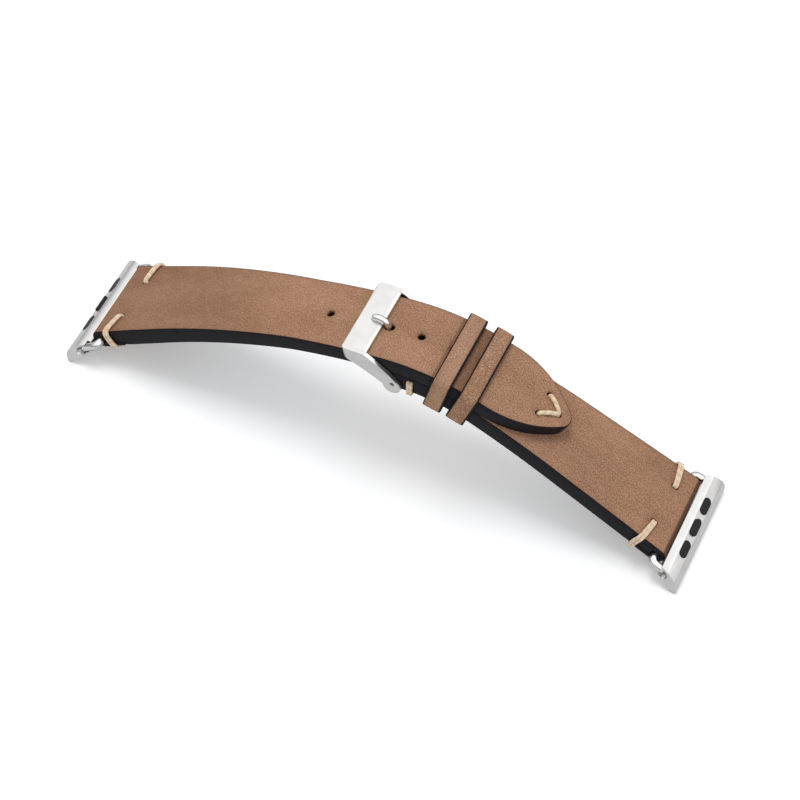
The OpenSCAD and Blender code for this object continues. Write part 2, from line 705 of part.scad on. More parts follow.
// One piece of round wire: a bar through the leather's fold, two elbows, two arms
// that lie in the adapter's end pockets, and a peg turned in at each end
module bow(axis, side) {
    r = bow_wire / 2;
    arm_turn = 180 - atan2(bow_end[1], bow_end[0] - reach(side));
    arm_len = norm([reach(side) - bow_end[0], bow_end[1]]);
    color(bright_steel) on_adapter(axis, side) translate([reach(side), 0, 0]) rotate([0, arm_turn, 0]) {
        rod([0, bow_bend - bow_arm_y, 0], [0, bow_arm_y - bow_bend, 0], r);
        for (k = [-1, 1]) {
            mirror([0, k < 0 ? 1 : 0, 0]) {
                translate([-bow_bend, bow_arm_y - bow_bend, 0]) rotate_extrude(angle = 90) translate([bow_bend, 0]) circle(r, $fn = 32);
                rod([-bow_bend, bow_arm_y, 0], [-arm_len, bow_arm_y, 0], r);
                translate([-arm_len, bow_arm_y, 0]) sphere(r, $fn = 32);
                rod([-arm_len, bow_arm_y, 0], [-arm_len, bow_arm_y - 2.5, 0], peg_radius);
            }
        }
    }
}

module pad(axis, side, k) {
    color(black_rubber) on_adapter(axis, side) on_pad_face() translate([0, k * pad_pitch, 0])
        stadium(pad_length, pad_width, -1.3, 0.06);
}

// The sprung catch: a domed button in its own slot
module catch(axis, side) {
    w = pad_width - 2 * running;
    color(black_rubber) on_adapter(axis, side) on_pad_face() intersection() {
        stadium(pad_length - 2 * running, w, -1.2, catch_height);
        translate([0, 0, catch_height - 1.5]) rotate([90, 0, 0]) cylinder(r = 1.5, h = 6, center = true);
    }
}

module long_adapter() { adapter_body(long_bow_axis, -1); }
module long_pad_near() { pad(long_bow_axis, -1, -1); }
module long_pad_far() { pad(long_bow_axis, -1, 1); }
module long_catch() { catch(long_bow_axis, -1); }
module long_bow() { bow(long_bow_axis, -1); }
module short_adapter() { adapter_body(short_bow_axis, 1); }
module short_pad_near() { pad(short_bow_axis, 1, -1); }
module short_pad_far() { pad(short_bow_axis, 1, 1); }
module short_catch() { catch(short_bow_axis, 1); }
module short_bow() { bow(short_bow_axis, 1); }

long_strap_leather();
long_strap_lining();
short_strap_leather();
short_strap_lining();
fixed_keeper();
free_keeper();
long_tack_near();
long_tack_far();
short_tack_near();
short_tack_far();
buckle_tack_near();
buckle_tack_far();
tail_stitch();
buckle_frame();
buckle_prong();
spring_bar_tube();
spring_bar_tip_near();
spring_bar_tip_far();
long_adapter();
long_pad_near();
long_pad_far();
long_catch();
long_bow();
short_adapter();
short_pad_near();
short_pad_far();
short_catch();
short_bow();
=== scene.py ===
"""The looks of the leather watch strap: cut and turned leather, hand stitches, satin and bright steel.
Lengths are written in millimetres along and across the strap, and become metres where a mesh is made."""
import math
import bmesh
import bpy
import numpy as np
from mathutils import Matrix, Vector
from mathutils.geometry import delaunay_2d_cdt


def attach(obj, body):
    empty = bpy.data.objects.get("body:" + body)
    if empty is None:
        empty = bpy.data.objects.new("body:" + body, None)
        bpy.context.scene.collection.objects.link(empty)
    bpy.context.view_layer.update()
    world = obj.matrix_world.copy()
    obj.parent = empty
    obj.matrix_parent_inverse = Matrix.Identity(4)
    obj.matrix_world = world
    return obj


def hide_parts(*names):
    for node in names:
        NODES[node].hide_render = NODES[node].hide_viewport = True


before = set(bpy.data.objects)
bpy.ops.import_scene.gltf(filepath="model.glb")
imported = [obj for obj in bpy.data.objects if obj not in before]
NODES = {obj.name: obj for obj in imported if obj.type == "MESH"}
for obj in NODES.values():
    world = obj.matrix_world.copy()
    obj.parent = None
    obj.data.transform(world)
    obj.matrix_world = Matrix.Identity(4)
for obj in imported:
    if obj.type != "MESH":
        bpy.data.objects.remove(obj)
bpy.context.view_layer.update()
MM = 0.001
SKIN_UNIT = 100.0    # millimetres of flat leather to one unit of its skin map

# The camera of the photograph
CAMERA = dict(azimuth=24.65, elevation=53.537, roll=0.298, away=515.313, target=(2.184, 0.0, 9.935),
              lens=114.89, sensor=36.0)


def place_camera():
    """Azimuth 0 looks along +y, and roll turns the camera about its own axis."""
    a, e, r = (math.radians(CAMERA[k]) for k in ("azimuth", "elevation", "roll"))
    back = np.array([math.sin(a) * math.cos(e), -math.cos(a) * math.cos(e), math.sin(e)])
    right = np.array([math.cos(a), math.sin(a), 0.0])
    up = np.cross(back, right)
    side = math.cos(r) * right + math.sin(r) * up
    top = -math.sin(r) * right + math.cos(r) * up
    spot = (np.array(CAMERA["target"]) + CAMERA["away"] * back) * MM
    data = bpy.data.cameras.new("photo_camera")
    data.sensor_fit = "HORIZONTAL"
    data.sensor_width = CAMERA["sensor"]
    data.lens = CAMERA["lens"]
    data.clip_start = 0.01
    data.clip_end = 20.0
    camera = bpy.data.objects.new("photo_camera", data)
    bpy.context.scene.collection.objects.link(camera)
    matrix = np.eye(4)
    matrix[:3] = np.stack([side, top, back, spot], 1)
    camera.matrix_world = Matrix(matrix.tolist())
    bpy.context.scene.camera = camera


place_camera()

# Sizes, as in the part's source, but for the prong's tip, its elbow and its run over the bar
case_width, buckle_width = 20.0, 16.1
long_thickness, case_end_growth, short_thickness = 3.45, 0.55, 3.9
outer_leather, tail_gap = 1.3, 0.15
crown_height, crown_offset, crown_radius = 33.3, 7.35, 41.0
long_radius, short_radius = 147.0, 172.0
crown_left, crown_right, long_slope, short_slope = 7.9, 20.1, 29.2, 27.4
hole_pitch, hole_diameter, hole_stretch = 6.65, 1.84, 0.5
tail_length, tail_curve, tip_radius = 33.2, 22.5, 2.5
keeper_length, keeper_leather, keeper_gap = 3.85, 1.1, 0.2
fixed_keeper_at, free_keeper_at, fixed_keeper_lean = 7.4, 13.4, 3.0
prong_diameter, bow_arm_y, bow_end = 1.4, 11.6, (1.1, 0.9)
prong_tip, prong_crossing = (0.95, 1.86), (3.72, -3.8)
prong_rise, prong_over, prong_bends = 93, 186, (1.5, 2.1)
barrel_radius, barrel_half = 1.65, 1.1
spring_bar_diameter, bow_wire, long_reach, short_reach = 1.6, 1.7, 5.6, 4.2
adapter_dome, dome_drop, toe_radius, flat_side = 3.95, 1.25, 0.5, -0.3
peg_radius, peg_length = 0.5, 2.5
running, bite = 0.05, 0.03      # a bore's gap round its bar, and how far it bites into the leather
half_case, half_buckle = case_width / 2, buckle_width / 2
short_top = long_thickness + tail_gap
bow_bore, pin_bore = bow_wire / 2 + running, spring_bar_diameter / 2 + running
bow_nose, pin_nose = bow_bore + outer_leather - bite, pin_bore + outer_leather - bite
long_bow_s, short_bow_s, pin_s, bar_s, first_hole = -74.65, 61.95, -3.25, -11.25, -20.55
long_taper, short_taper = (-65.65, -18.65), (19.35, 67.15)
fold, fold_end = 5.5, 0.6
strand, tail_strand = 0.75, 0.95
tack_hole, buckle_tack_hole = 4.9, 4.6
# Where each tack has its hole and where it crosses the edge, near side and far side
long_tack_at = [(-70.95, -71.95, -1), (-70.35, -69.4, 1)]
short_tack_at = [(58.3, 57.2, -1), (59.0, 58.0, 1)]
buckle_tack_at = [(0.75, 0.75, -1), (0.75, 0.75, 1)]
tail_stitch_at = [(30.35, 0.05), (26.6, -2.45), (26.95, 2.7)]

RAD = math.pi / 180
crown_len_l = crown_radius * crown_left * RAD
bend_len_l = crown_len_l + long_radius * (long_slope - crown_left) * RAD
crown_len_r = crown_radius * crown_right * RAD
bend_len_r = crown_len_r + short_radius * (short_slope - crown_right) * RAD


def along(a):
    """The way along the strap where its slope is a, as (x, z)."""
    return np.array([math.cos(a * RAD), math.sin(a * RAD)])


def out(a):
    """The way out of the strap's upper side where its slope is a."""
    return np.array([-math.sin(a * RAD), math.cos(a * RAD)])


crown_mid = np.array([crown_offset, crown_height - crown_radius])
long_mid = crown_mid + (crown_radius - long_radius) * out(crown_left)
short_mid = crown_mid + (crown_radius - short_radius) * out(-crown_right)


def slope(s):
    """The strap's slope in degrees at length s from the crown line."""
    if s < -bend_len_l:
        return long_slope
    if s < -crown_len_l:
        return crown_left - (s + crown_len_l) / long_radius / RAD
    if s < crown_len_r:
        return -s / crown_radius / RAD
    if s < bend_len_r:
        return -crown_right - (s - crown_len_r) / short_radius / RAD
    return -short_slope


def on(s, t=0.0):
    """The point at length s from the crown line, t below the long piece's top, as (x, z)."""
    a = slope(s)
    if s < -bend_len_l:
        return long_mid + (long_radius - t) * out(a) + (s + bend_len_l) * along(a)
    if s < -crown_len_l:
        return long_mid + (long_radius - t) * out(a)
    if s < crown_len_r:
        return crown_mid + (crown_radius - t) * out(a)
    if s < bend_len_r:
        return short_mid + (short_radius - t) * out(a)
    return short_mid + (short_radius - t) * out(a) + (s - bend_len_r) * along(a)


def bent(p, y):
    """The place of a point (x, z) of the strap's curve at y across."""
    return np.array([p[0], y, p[1]])


def at(s, y, up):
    """The place at length s and y across, so far above the long piece's top."""
    return bent(on(s, -up), y)


def long_under(s):
    """How thick the long piece is, with its filler growing towards the case end."""
    k = (-s - crown_len_l) / (bend_len_l - crown_len_l)
    return long_thickness + case_end_growth * min(1, max(0, k)) ** 2


def short_under(s):
    """How thick the short piece is, the same all along."""
    return short_thickness


def fold_under(d, deep, under):
    """How deep a fold's underside is, d from its bar."""
    return deep + (under - deep) * min(1, d / fold)


def fold_top(d, deep, under):
    """How deep the turned-under leather starts, as it thins towards its end."""
    return fold_under(d, deep, under) - outer_leather - (fold_end - outer_leather) * min(1, d / fold)


def tapered(share):
    """Half the strap's width, from 0 at the buckle's end of a taper to 1 at its case end."""
    return half_buckle + (half_case - half_buckle) * min(1, max(0, share))


def long_edge(s):
    return tapered((long_taper[1] - on(s)[0]) / (long_taper[1] - long_taper[0]))


def short_edge(s):
    return tapered((on(s, short_top)[0] - short_taper[0]) / (short_taper[1] - short_taper[0]))


# Shader arithmetic
class Tone:
    """One socket of a node tree. Arithmetic on it adds the Math nodes."""

    def __init__(self, shading, socket):
        self.shading, self.socket = shading, socket

    def math(self, operation, *values):
        return self.shading.tone("ShaderNodeMath", dict(operation=operation), dict(enumerate(values)))

    def __add__(self, other):
        return self.math("ADD", self, other)

    def __radd__(self, other):
        return self.math("ADD", other, self)

    def __sub__(self, other):
        return self.math("SUBTRACT", self, other)

    def __rsub__(self, other):
        return self.math("SUBTRACT", other, self)

    def __mul__(self, other):
        return self.math("MULTIPLY", self, other)

    def sine(self):
        return self.math("SINE", self)

    def rise(self, low, high, start=0.0, stop=1.0):
        """The value start below low, stop above high, smooth between."""
        return self.shading.tone("ShaderNodeMapRange", dict(interpolation_type="SMOOTHSTEP"),
                                 {"Value": self, "From Min": low, "From Max": high,
                                  "To Min": start, "To Max": stop})


class Shading:
    """The node tree of a material or of the room, built from named values."""

    def __init__(self, owner):
        owner.use_nodes = True
        self.tree = owner.node_tree
        self.tree.nodes.clear()

    def set(self, socket, value):
        if isinstance(value, Tone):
            self.tree.links.new(value.socket, socket)
        elif isinstance(value, tuple) and len(value) == 3 and socket.type == "RGBA":
            socket.default_value = (*value, 1.0)
        else:
            socket.default_value = value

    def node(self, kind, settings=None, sockets=None):
        node = self.tree.nodes.new(kind)
        for key, value in (settings or {}).items():
            setattr(node, key, value)
        for key, value in (sockets or {}).items():
            self.set(node.inputs[key], value)
        return node

    def tone(self, kind, settings=None, sockets=None, output=0):
        return Tone(self, self.node(kind, settings, sockets).outputs[output])

    def axis(self, spot, index):
        return self.tone("ShaderNodeSeparateXYZ", None, {0: spot}, index)

    def either(self, factor, first, second):
        """The first shader where the factor is 0, the second where it is 1."""
        return self.tone("ShaderNodeMixShader", None, {0: factor, 1: first, 2: second})


class Finish(Shading):
    """A procedural material on one Principled shader."""

    def __init__(self, name, **sockets):
        self.material = bpy.data.materials.new(name)
        super().__init__(self.material)
        self.out = self.node("ShaderNodeOutputMaterial")
        self.shader = self.node("ShaderNodeBsdfPrincipled")
        self.surface = Tone(self, self.shader.outputs[0])
        self.set(self.out.inputs["Surface"], self.surface)
        self.wear(**sockets)

    def wear(self, **sockets):
        for name, value in sockets.items():
            self.set(self.shader.inputs[name.replace("_", " ")], value)
        return self.material

    def stretched(self, spot, factors):
        return self.tone("ShaderNodeVectorMath", dict(operation="MULTIPLY"), {0: spot, 1: factors})

    def object_mm(self, stretch=(1.0, 1.0, 1.0)):
        """Places on the object in millimetres, stretched by the given factors."""
        spot = self.tone("ShaderNodeTexCoord", output="Object")
        return self.stretched(spot, tuple(k / MM for k in stretch))

    def skin_mm(self):
        """Places on the flat leather before it was bent, in millimetres: x along, y across."""
        return self.stretched(self.tone("ShaderNodeUVMap", dict(uv_map="skin")), (SKIN_UNIT,) * 3)

    def noise(self, spot, per_mm, detail, rough, distortion=0.0):
        return self.tone("ShaderNodeTexNoise", None, {"Vector": spot, "Scale": per_mm, "Detail": detail,
                                                      "Roughness": rough, "Distortion": distortion})

    def cells(self, spot, per_mm, feature="F1"):
        return self.tone("ShaderNodeTexVoronoi", dict(feature=feature), {"Vector": spot, "Scale": per_mm})

    def attribute(self, name):
        return self.tone("ShaderNodeAttribute", dict(attribute_name=name), output="Fac")

    def blend(self, mask, first, second):
        return self.tone("ShaderNodeMix", dict(data_type="RGBA"), {0: mask, 6: first, 7: second}, 2)

    def bump(self, height, depth_mm, strength):
        return self.tone("ShaderNodeBump", None, {"Height": height, "Distance": depth_mm * MM,
                                                  "Strength": strength})


# Finishes
EDGE_PAINT, WORN_PAINT = (0.0085, 0.0078, 0.0100), (0.0135, 0.0125, 0.0155)
PAINTED_SHADE_BROWN = (0.085, 0.036, 0.020)


def nubuck(name, dark, mid, light, seed, shade_bands=(), pebbled=0.0, coarse=(-140.0, -130.0)):
    """Brushed brown leather: soft clouds, a fine mottled nap, hairline scuffs, black painted edges.
    The bands given as (from, to, softness, strength) darken it along its length as painted shade. Where
    pebbled, it gets painted shade in its creases and painted highlights on the pebbles. Its grain gets
    stronger over the stretch that coarse gives."""
    f = Finish(name, IOR=1.45, Specular_IOR_Level=0.15)
    skin = f.skin_mm()
    along_skin = f.axis(skin, 0)
    shift = f.tone("ShaderNodeVectorMath", dict(operation="ADD"), {0: skin, 1: (seed, seed * 0.37, 0.0)})
    crosswise = f.stretched(shift, (1.0, 0.62, 1.0))
    clouds = f.noise(f.stretched(shift, (0.35, 1.0, 1.0)), 0.11, 3.0, 0.55)
    patches = f.noise(shift, 0.6, 3.0, 0.6, 0.4)
    nap = f.noise(crosswise, 3.9, 4.0, 0.74, 0.2)
    fleck = f.noise(shift, 8.5, 2.0, 0.65)
    grain = nap.rise(0.40, 0.60) * 0.38 + fleck.rise(0.43, 0.57) * 0.30 - 0.34
    contrast = 1.0 + (along_skin - coarse[0]).rise(0.0, coarse[1] - coarse[0]) * 0.36
    tone = clouds.rise(0.3, 0.7) * 0.20 + patches.rise(0.3, 0.72) * 0.12 + 0.34 + grain * contrast
    colour = f.blend(tone.rise(0.08, 0.52), dark, mid)
    colour = f.blend(tone.rise(0.48, 0.92), colour, light)

    blush = f.noise(shift, 1.6, 2.0, 0.6).rise(0.5, 0.75)
    colour = f.blend(blush * 0.35, colour, (mid[0] * 1.14, mid[1] * 0.98, mid[2] * 1.02))
    scuff = f.noise(f.stretched(shift, (0.22, 2.4, 1.0)), 0.9, 4.0, 0.75, 0.6).rise(0.62, 0.74)
    colour = f.blend(scuff * 0.22, colour, light)
    wrinkled = f.stretched(crosswise, (1.0, 1.25, 1.0))
    creases = f.cells(wrinkled, 1.6, "DISTANCE_TO_EDGE").rise(0.0, 0.24)
    # painted shade in the creases and painted highlights on the pebbles between them
    colour = f.blend((1.0 - creases) * (0.5 * pebbled), colour, dark)
    colour = f.blend(creases * patches.rise(0.3, 0.7) * (0.3 * pebbled), colour, light)
    # painted shade in bands along the leather
    for start, stop, soft, much in shade_bands:
        band = (along_skin - (start - soft)).rise(0.0, soft) * (1.0 - (along_skin - stop).rise(0.0, soft))
        colour = f.blend(band * much, colour, PAINTED_SHADE_BROWN)
    colour = f.blend(f.attribute("rim") * 0.25, colour, dark)

    ragged = f.attribute("paint") + (f.noise(shift, 1.4, 3.0, 0.6) - 0.5) * 0.22
    painted = ragged.rise(0.42, 0.58)
    paint = f.blend(f.noise(shift, 0.8, 3.0, 0.6).rise(0.35, 0.8), EDGE_PAINT, WORN_PAINT)
    rough = 0.86 - nap * 0.10
    rough = rough + (0.52 - rough) * painted
    pores = 1.0 - f.cells(shift, 2.2).rise(0.0, 0.32)
    height = nap * 0.6 + fleck * 0.35 + patches * 0.5 - pores * 0.35 + creases * (2.0 * pebbled)
    return f.wear(Base_Color=f.blend(painted, colour, paint), Roughness=rough,
                  Normal=f.bump(height * (1.0 - painted * 0.75), 0.065, 0.9))


def smooth_lining():
    """Under the strap: tight dark leather with a fine pebbled grain."""
    f = Finish("lining_leather", IOR=1.45, Specular_IOR_Level=0.2)
    spot = f.skin_mm()
    pebble = f.cells(spot, 1.7, "SMOOTH_F1")
    crease = f.noise(spot, 0.5, 4.0, 0.65, 0.5)
    painted = f.attribute("paint").rise(0.4, 0.6)
    skin = f.blend(crease.rise(0.3, 0.7), (0.030, 0.025, 0.024), (0.046, 0.039, 0.037))
    height = (pebble * 0.8 + crease * 0.5) * (1.0 - painted * 0.85)
    return f.wear(Base_Color=f.blend(painted, skin, EDGE_PAINT), Roughness=0.5 + crease * 0.14,
                  Normal=f.bump(height, 0.04, 0.6))


def waxed_thread():
    """Cream linen thread, waxed: plies, loose fibres, and painted shade where it goes into a hole."""
    f = Finish("waxed_thread", IOR=1.45, Sheen_Weight=0.15, Sheen_Roughness=0.5)
    spot = f.skin_mm()
    plies = (f.axis(spot, 0) * 4.2 + f.axis(spot, 1) * 6.2832).sine()
    fibres = f.noise(f.object_mm(), 6.0, 3.0, 0.7)
    tone = plies.rise(-1.0, 1.0) * 0.45 + fibres.rise(0.3, 0.7) * 0.55
    colour = f.blend(tone, (0.59, 0.425, 0.27), (0.89, 0.72, 0.53))
    # painted shade on the thread where it sinks into its hole
    colour = f.blend(f.attribute("hole_shade") * 0.75, colour, (0.16, 0.10, 0.055))
    return f.wear(Base_Color=colour, Roughness=0.62 + fibres * 0.12,
                  Normal=f.bump(plies * 0.5 + fibres * 0.6, 0.05, 0.6))


def satin_steel():
    """Fine-blasted steel: an even light satin with faint streaks and a few soft smudges."""
    f = Finish("satin_steel", Metallic=1.0)
    spot = f.object_mm()
    grit = f.noise(spot, 9.0, 3.0, 0.7)
    streak = f.noise(f.object_mm((1.0, 0.12, 1.0)), 5.0, 3.0, 0.6)
    smudge = f.noise(spot, 0.35, 3.0, 0.6)
    colour = f.blend(smudge.rise(0.3, 0.7), (0.76, 0.75, 0.735), (0.83, 0.82, 0.805))
    rough = 0.31 + (grit - 0.5) * 0.10 + (streak - 0.5) * 0.10 + (smudge - 0.5) * 0.10
    return f.wear(Base_Color=colour, Roughness=rough, Normal=f.bump(grit * 0.6 + streak * 0.6, 0.004, 0.6))


def bright_steel():
    """Polished steel wire and prong, with hairline handling marks."""
    f = Finish("bright_steel", Metallic=1.0)
    hairlines = f.noise(f.object_mm((1.6, 0.15, 1.6)), 7.0, 4.0, 0.7).rise(0.5, 0.8)
    smudge = f.noise(f.object_mm(), 0.6, 3.0, 0.6)
    colour = f.blend(smudge.rise(0.3, 0.7), (0.78, 0.78, 0.775), (0.86, 0.86, 0.855))
    rough = 0.10 + hairlines * 0.07 + smudge * 0.07
    return f.wear(Base_Color=colour, Roughness=rough, Normal=f.bump(hairlines, 0.002, 0.5))


def shaded_pin_steel():
    """The pins' cut ends, their steel darkened as painted shade for the holes they sit in."""
    f = Finish("shaded_pin_steel", Metallic=1.0)
    marks = f.noise(f.object_mm(), 8.0, 3.0, 0.7)
    colour = f.blend(marks.rise(0.3, 0.7), (0.10, 0.095, 0.09), (0.24, 0.23, 0.22))
    return f.wear(Base_Color=colour, Roughness=0.35 + marks * 0.2, Normal=f.bump(marks, 0.004, 0.5))


def black_rubber():
    """Moulded black pads and catch: matt, with a trace of moulding texture and lint."""
    f = Finish("black_rubber", IOR=1.5, Specular_IOR_Level=0.25)
    spot = f.object_mm()
    grain = f.noise(spot, 6.0, 3.0, 0.65)
    dust = f.noise(spot, 2.4, 4.0, 0.7).rise(0.6, 0.8)
    colour = f.blend(dust * 0.35, (0.012, 0.0115, 0.0125), (0.035, 0.034, 0.034))
    return f.wear(Base_Color=colour, Roughness=0.42 + grain * 0.16, Normal=f.bump(grain, 0.01, 0.5))


DARK, MID, LIGHT = (0.200, 0.098, 0.055), (0.338, 0.180, 0.107), (0.475, 0.290, 0.185)
keeper_side = 1.9    # from a keeper's middle to just under its side
# Bands of painted shade: darker towards the case end, over the stretch between the keepers, and a painted
# shadow line just before the fixed one
LONG_SHADE_BANDS = ((-110.0, long_bow_s + 22.0, 24.0, 0.20),
                (fixed_keeper_at + keeper_side, free_keeper_at - keeper_side, 0.3, 0.42),
                (fixed_keeper_at - keeper_side - 0.25, fixed_keeper_at - keeper_side, 0.45, 0.4))
# Painted shade over the turn round the bow's bar, which the light hardly reaches
SHORT_SHADE_BANDS = ((short_bow_s + 1.15, short_bow_s + 12.0, 0.6, 0.85),)
LONG_LEATHER = nubuck("nubuck_long", DARK, MID, LIGHT, 3.0, LONG_SHADE_BANDS, coarse=(-50.0, 0.0))
SHORT_LEATHER = nubuck("nubuck_short", DARK, MID, LIGHT, 17.0, SHORT_SHADE_BANDS)
KEEPER_LEATHER = nubuck("nubuck_keeper", (0.225, 0.113, 0.066), (0.365, 0.205, 0.128), (0.50, 0.32, 0.215),
                        41.0, pebbled=0.15)
CREASED_LEATHER = nubuck("nubuck_creased", (0.225, 0.108, 0.060), (0.370, 0.202, 0.122), (0.55, 0.35, 0.235),
                         77.0, pebbled=0.85)
LINING = smooth_lining()
THREAD = waxed_thread()
SATIN = satin_steel()
BRIGHT = bright_steel()
PIN_END_SHADE = shaded_pin_steel()
RUBBER = black_rubber()


# Mesh helpers
def seated(name, mesh, material, body, node, sharp):
    """The mesh as an object, smooth between its sharp edges, on its body and in place of its node."""
    mesh.shade_smooth()
    mesh.set_sharp_from_angle(angle=math.radians(sharp))
    mesh.materials.clear()
    mesh.materials.append(material)
    obj = bpy.data.objects.new(name, mesh)
    bpy.context.scene.collection.objects.link(obj)
    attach(obj, body)
    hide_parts(node)
    return obj


def piece(name, made, material, body, node, marks=None, sharp=50):
    """A piece made of points in millimetres, faces, and each point's place on the flat skin."""
    points, faces, skin = made
    mesh = bpy.data.meshes.new(name)
    mesh.from_pydata([tuple(float(c) * MM for c in p) for p in points], [],
                     [tuple(map(int, f)) for f in faces])
    for label, values in (marks or {}).items():
        mesh.attributes.new(label, "FLOAT", "POINT").data.foreach_set("value", [float(v) for v in values])
    layer = mesh.uv_layers.new(name="skin")
    for loop in mesh.loops:
        u, v = skin[loop.vertex_index]
        layer.data[loop.index].uv = (u / SKIN_UNIT, v / SKIN_UNIT)
    shape = bmesh.new()
    shape.from_mesh(mesh)
    bmesh.ops.recalc_face_normals(shape, faces=shape.faces)
    shape.to_mesh(mesh)
    shape.free()
    seated(name, mesh, material, body, node, sharp)


def quads(first, second):
    """Faces between two closed loops of as many points, given by their numbers."""
    n = len(first)
    return [(first[i], first[(i + 1) % n], second[(i + 1) % n], second[i]) for i in range(n)]


def loft(count, around, closed=True):
    """Faces over loops of points in a row, the last loop joined to the first if closed."""
    loops = [range(k * around, (k + 1) * around) for k in range(count)]
    after = loops[1:] + (loops[:1] if closed else [])
    return [face for first, second in zip(loops, after) for face in quads(first, second)]


def inside(points, polygon):
    """Which of the points lie in the polygon."""
    points, polygon = np.asarray(points, float), np.asarray(polygon, float)
    hit = np.zeros(len(points), bool)
    x, y = points[:, 0], points[:, 1]
    for (x0, y0), (x1, y1) in zip(polygon, np.roll(polygon, -1, axis=0)):
        if y0 == y1:
            continue
        hit ^= ((y0 > y) != (y1 > y)) & (x < (x1 - x0) * (y - y0) / (y1 - y0) + x0)
    return hit


def pulled_in(loop, by):
    """A closed outline moved towards its inside, its corners mitred."""
    loop = np.asarray(loop, float)
    before, after = loop - np.roll(loop, 1, axis=0), np.roll(loop, -1, axis=0) - loop
    before /= np.linalg.norm(before, axis=1)[:, None]
    after /= np.linalg.norm(after, axis=1)[:, None]
    n0, n1 = np.stack([-before[:, 1], before[:, 0]], 1), np.stack([-after[:, 1], after[:, 0]], 1)
    return loop + by * (n0 + n1) / (1 + np.sum(n0 * n1, axis=1))[:, None]


def ring(centre, radius, stretch=(0.0, 0.0), count=20):
    """A round or slotted hole's outline, drawn so that its inside is the leather."""
    loop = []
    for i in range(count):
        a = -2 * math.pi * (i + 0.5) / count
        c, s = math.cos(a), math.sin(a)
        loop.append((centre[0] + radius * c + math.copysign(stretch[0], c),
                     centre[1] + radius * s + math.copysign(stretch[1], s)))
    return loop


def edge_profile(round_top, round_under, steps=4):
    """How a cut edge runs from the upper face to the lower one, in rows of
    (pulled in, share of depth, extra depth, paint)."""
    inset = max(round_top, round_under)
    rows = [(inset, 0, 0, 0.3 if round_top else 0.0)]
    if round_top:
        for i in range(steps):
            a = math.radians(90 * (i + 1) / steps)
            rows.append((round_top * (1 - math.sin(a)), 0, round_top * (1 - math.cos(a)),
                         min(1.0, 0.68 + 0.3 * i)))
    else:
        rows.append((0, 0, 0, 1.0))
    if round_under:
        for i in range(steps):
            a = math.radians(90 - 90 * i / steps)
            rows.append((round_under * (1 - math.sin(a)), 1, -round_under * (1 - math.cos(a)), 1.0))
    else:
        rows.append((0, 1, 0, 1.0))
    rows.append((inset, 1, 0, 1.0))
    return rows


OUTER_EDGE, LINING_EDGE = edge_profile(0.28, 0), edge_profile(0, 0.18)
# A punched hole's wall in the same rows: a slightly drawn-in rim, then straight down and dark
drawn_in = 0.14
PUNCHED = [(drawn_in, 0, 0, 0.0), (drawn_in / 2, 0, drawn_in * 0.3, 0.0), (0, 0, drawn_in, 0.2),
           (0, 0, 0.6, 0.4), (0, 1, 0, 0.95), (drawn_in, 1, 0, 1.0)]
LINING_HOLE = [(0.1, 0, 0, 1.0), (0, 0, 0, 1.0), (0, 1, 0, 1.0), (0.1, 1, 0, 0.0)]


def cut_sheet(outline, holes, rows, place, profile, hole_profile, clear=0.33):
    """Leather cut to an outline with holes, bent by place(u, y, share, extra), closed all round.
    The rows' points keep clear of the rims. Returns points, faces and skin places, then the marks."""
    cuts = [(outline, profile)] + [(hole, hole_profile) for hole in holes]
    rims = [pulled_in(loop, rule[0][0]) for loop, rule in cuts]
    flat, edges = [], []
    for loop in rims:
        start, count = len(flat), len(loop)
        flat += [tuple(p) for p in loop]
        edges += [(start + i, start + (i + 1) % count) for i in range(count)]
    rim_count = len(flat)

    def in_leather(points):
        good = inside(points, rims[0])
        for hole in rims[1:]:
            good &= ~inside(points, hole)
        return good

    extra = np.array([(u, y) for u, ys in rows for y in ys])
    rim_points = np.concatenate(rims)
    near = np.array([np.min(np.hypot(*(rim_points - p).T)) for p in extra])
    flat += [tuple(p) for p in extra[in_leather(extra) & (near > clear)]]
    spots, _, tris, *_ = delaunay_2d_cdt([Vector(p) for p in flat], edges, [], 0, 1e-5)
    spots = [(v.x, v.y) for v in spots]
    assert len(spots) == len(flat), "the outline crosses itself"
    middles = np.array([np.mean([spots[i] for i in t], axis=0) for t in tris])
    tris = [t for t, good in zip(tris, in_leather(middles)) if good]
    points, skin, paint, near_rim = [], [], [], []

    def add(spot, share, extra_depth, painted, at_rim):
        points.append(place(spot[0], spot[1], share, extra_depth))
        skin.append(spot)
        paint.append(painted)
        near_rim.append(at_rim)
        return len(points) - 1

    upper = [add(p, 0, 0, profile[0][3], 1.0 if i < rim_count else 0.0) for i, p in enumerate(spots)]
    lower = [add(p, 1, 0, profile[-1][3], 0.0) for p in spots]
    faces = [tuple(upper[i] for i in t) for t in tris]
    faces += [tuple(lower[i] for i in reversed(t)) for t in tris]
    start = 0
    for loop, rule in cuts:
        stop = start + len(loop)
        previous = upper[start:stop]
        for inset, share, more, painted in rule[1:-1]:
            current = [add(tuple(p), share, more, painted, 1.0) for p in pulled_in(loop, inset)]
            faces += quads(previous, current)
            previous = current
        faces += quads(previous, lower[start:stop])
        start = stop
    return (points, faces, skin), dict(paint=paint, rim=near_rim)


def spread(a, b, step):
    """Numbers from a to b, no further apart than the step."""
    n = max(1, math.ceil(abs(b - a) / step))
    return [a + (b - a) * i / n for i in range(n + 1)]


def stations(start, *runs):
    """Lengths along the leather from start, in runs of (end, step)."""
    us = []
    for stop, step in runs:
        us = us[:-1] + spread(start, stop, step)
        start = stop
    return us


def grid_rows(us, half, columns=9, margin=0.8, least=1.2):
    """Rows of points across the leather, inside its edges, where it isn't too narrow."""
    return [(u, [(half(u) - margin) * (2 * j / (columns - 1) - 1) for j in range(columns)])
            for u in us if half(u) > least]


